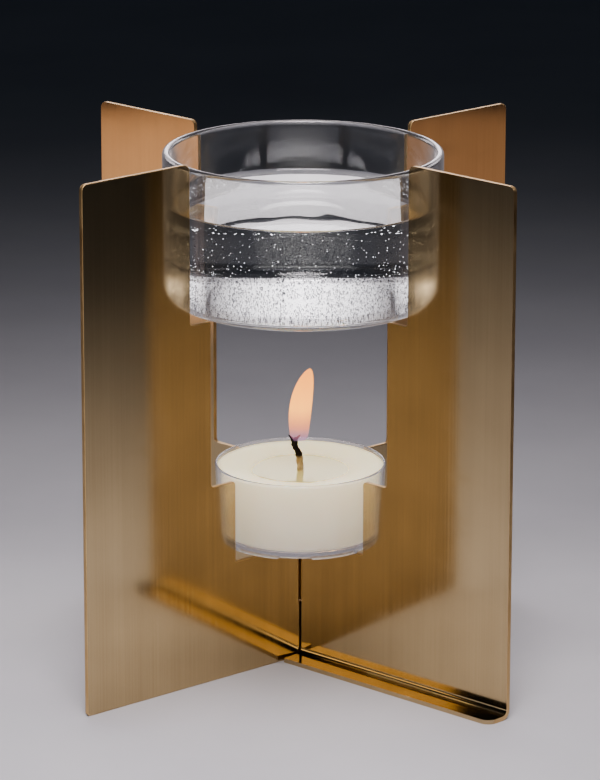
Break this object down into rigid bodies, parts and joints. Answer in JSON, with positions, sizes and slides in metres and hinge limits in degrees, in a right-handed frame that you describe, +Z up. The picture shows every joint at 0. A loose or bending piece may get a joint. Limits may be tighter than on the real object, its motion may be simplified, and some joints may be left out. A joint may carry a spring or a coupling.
{
  "type": "tealight warmer",
  "caption": "Tealight warmer: crossed, slotted brass sheets with a bent foot hold a glass bowl of water over a lit tealight.",
  "frame": {"origin": "where the two sheets cross, on the surface that they stand on", "axes": "+Z up, -Y the open front; sheet A runs 42 degrees from +X towards +Y, sheet B 42 degrees from +X towards -Y"},
  "size_m": [0.0957, 0.087, 0.1194],
  "materials": {
    "brass_sheet_a": "satin, brushed upright",
    "brass_sheet_b": "satin, brushed upright",
    "bowl_glass": "clear, polished",
    "water": "clear liquid with fine bubbles",
    "cup_plastic": "clear, slightly hazed",
    "wax": "translucent cream wax",
    "sustainer_tin": "tinned",
    "wick_cotton": "braided, charred at the tip"
  },
  "bodies": {
    "sheet_a": {"plate_a": "brass_sheet_a"},
    "sheet_b": {"plate_b": "brass_sheet_b"},
    "bowl": {"glass_bowl": "bowl_glass", "water": "water"},
    "tealight": {"tealight_cup": "cup_plastic", "wax": "wax", "wick_sustainer": "sustainer_tin", "wick": "wick_cotton"}
  },
  "joints": [
    {"name": "sheet_b_lift", "type": "slide", "parent": "sheet_a", "child": "sheet_b", "axis": [0, 0, 1], "range_m": [0, 0.028]},
    {"name": "bowl_lift", "type": "slide", "parent": "sheet_b", "child": "bowl", "axis": [0, 0, 1], "range_m": [0, 0.038]},
    {"name": "tealight_lift", "type": "slide", "parent": "sheet_b", "child": "tealight", "axis": [0, 0, 1], "range_m": [0, 0.018]}
  ]
}
